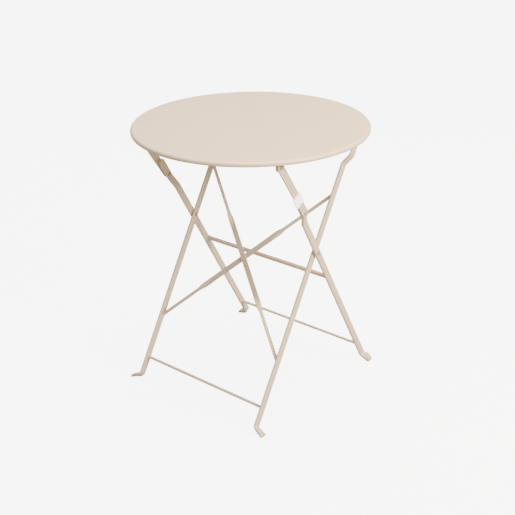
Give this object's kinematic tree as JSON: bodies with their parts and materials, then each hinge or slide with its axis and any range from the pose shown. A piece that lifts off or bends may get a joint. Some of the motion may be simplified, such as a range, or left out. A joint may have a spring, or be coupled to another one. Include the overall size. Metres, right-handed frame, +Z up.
{
  "type": "folding bistro table",
  "caption": "Round folding table: a pressed disc top hinged to two crossed leg frames, held up by a pair of flat link bars.",
  "frame": {"origin": "on the floor, under the centre of the round top", "axes": "+Z up, +X to the right along the foot rods, -Y towards the feet of the inner leg frame"},
  "size_m": [0.6, 0.6, 0.71],
  "materials": {
    "painted_steel": "satin powder coat",
    "rivet": "satin powder coat",
    "washer": "matte",
    "foot_cap": "matte",
    "band": "matte"
  },
  "bodies": {
    "inner_frame": {"inner_leg_left": "painted_steel", "inner_leg_right": "painted_steel", "front_foot_rod": "painted_steel", "brace_strap_to_left": "painted_steel", "brace_strap_to_right": "painted_steel", "front_foot_cap_left": "foot_cap", "front_foot_cap_right": "foot_cap", "crossing_rivets": "rivet", "crossing_washers": "washer", "hinge_rivets": "rivet", "hinge_washers": "washer"},
    "outer_frame": {"outer_leg_left": "painted_steel", "outer_leg_right": "painted_steel", "rear_foot_rod": "painted_steel", "outer_frame_crossbar": "painted_steel", "rear_foot_cap_left": "foot_cap", "rear_foot_cap_right": "foot_cap", "knee_rivet_tails": "rivet"},
    "top": {"table_top": "painted_steel", "top_rail_left": "painted_steel", "top_rail_right": "painted_steel", "link_top_rivets": "rivet", "link_top_washers": "washer"},
    "link_left": {"link_bar_left": "painted_steel", "knee_rivet_head_left": "rivet", "knee_washer_left": "washer"},
    "link_right": {"link_bar_right": "painted_steel", "knee_rivet_head_right": "rivet", "knee_washer_right": "washer", "white_band": "band"}
  },
  "joints": [
    {"name": "leg_fold", "type": "hinge", "parent": "inner_frame", "child": "outer_frame", "pos_m": [0, 0, 0.413], "axis": [-1, 0, 0], "range_deg": [0, 53.5]},
    {"name": "top_fold", "type": "hinge", "parent": "inner_frame", "child": "top", "pos_m": [0, 0.16764, 0.692], "axis": [1, 0, 0], "range_deg": [0, 44.12]},
    {"name": "link_fold_left", "type": "hinge", "parent": "top", "child": "link_left", "pos_m": [0, -0.1715, 0.69], "axis": [1, 0, 0], "range_deg": [0, 48.21]},
    {"name": "link_fold_right", "type": "hinge", "parent": "top", "child": "link_right", "pos_m": [0, -0.1715, 0.69], "axis": [1, 0, 0], "range_deg": [0, 48.21]}
  ],
  "couplings": [
    {"joint": "top_fold", "follows": "leg_fold", "ratio": 0.82436},
    {"joint": "link_fold_left", "follows": "leg_fold", "ratio": 0.90073},
    {"joint": "link_fold_right", "follows": "leg_fold", "ratio": 0.90073}
  ]
}
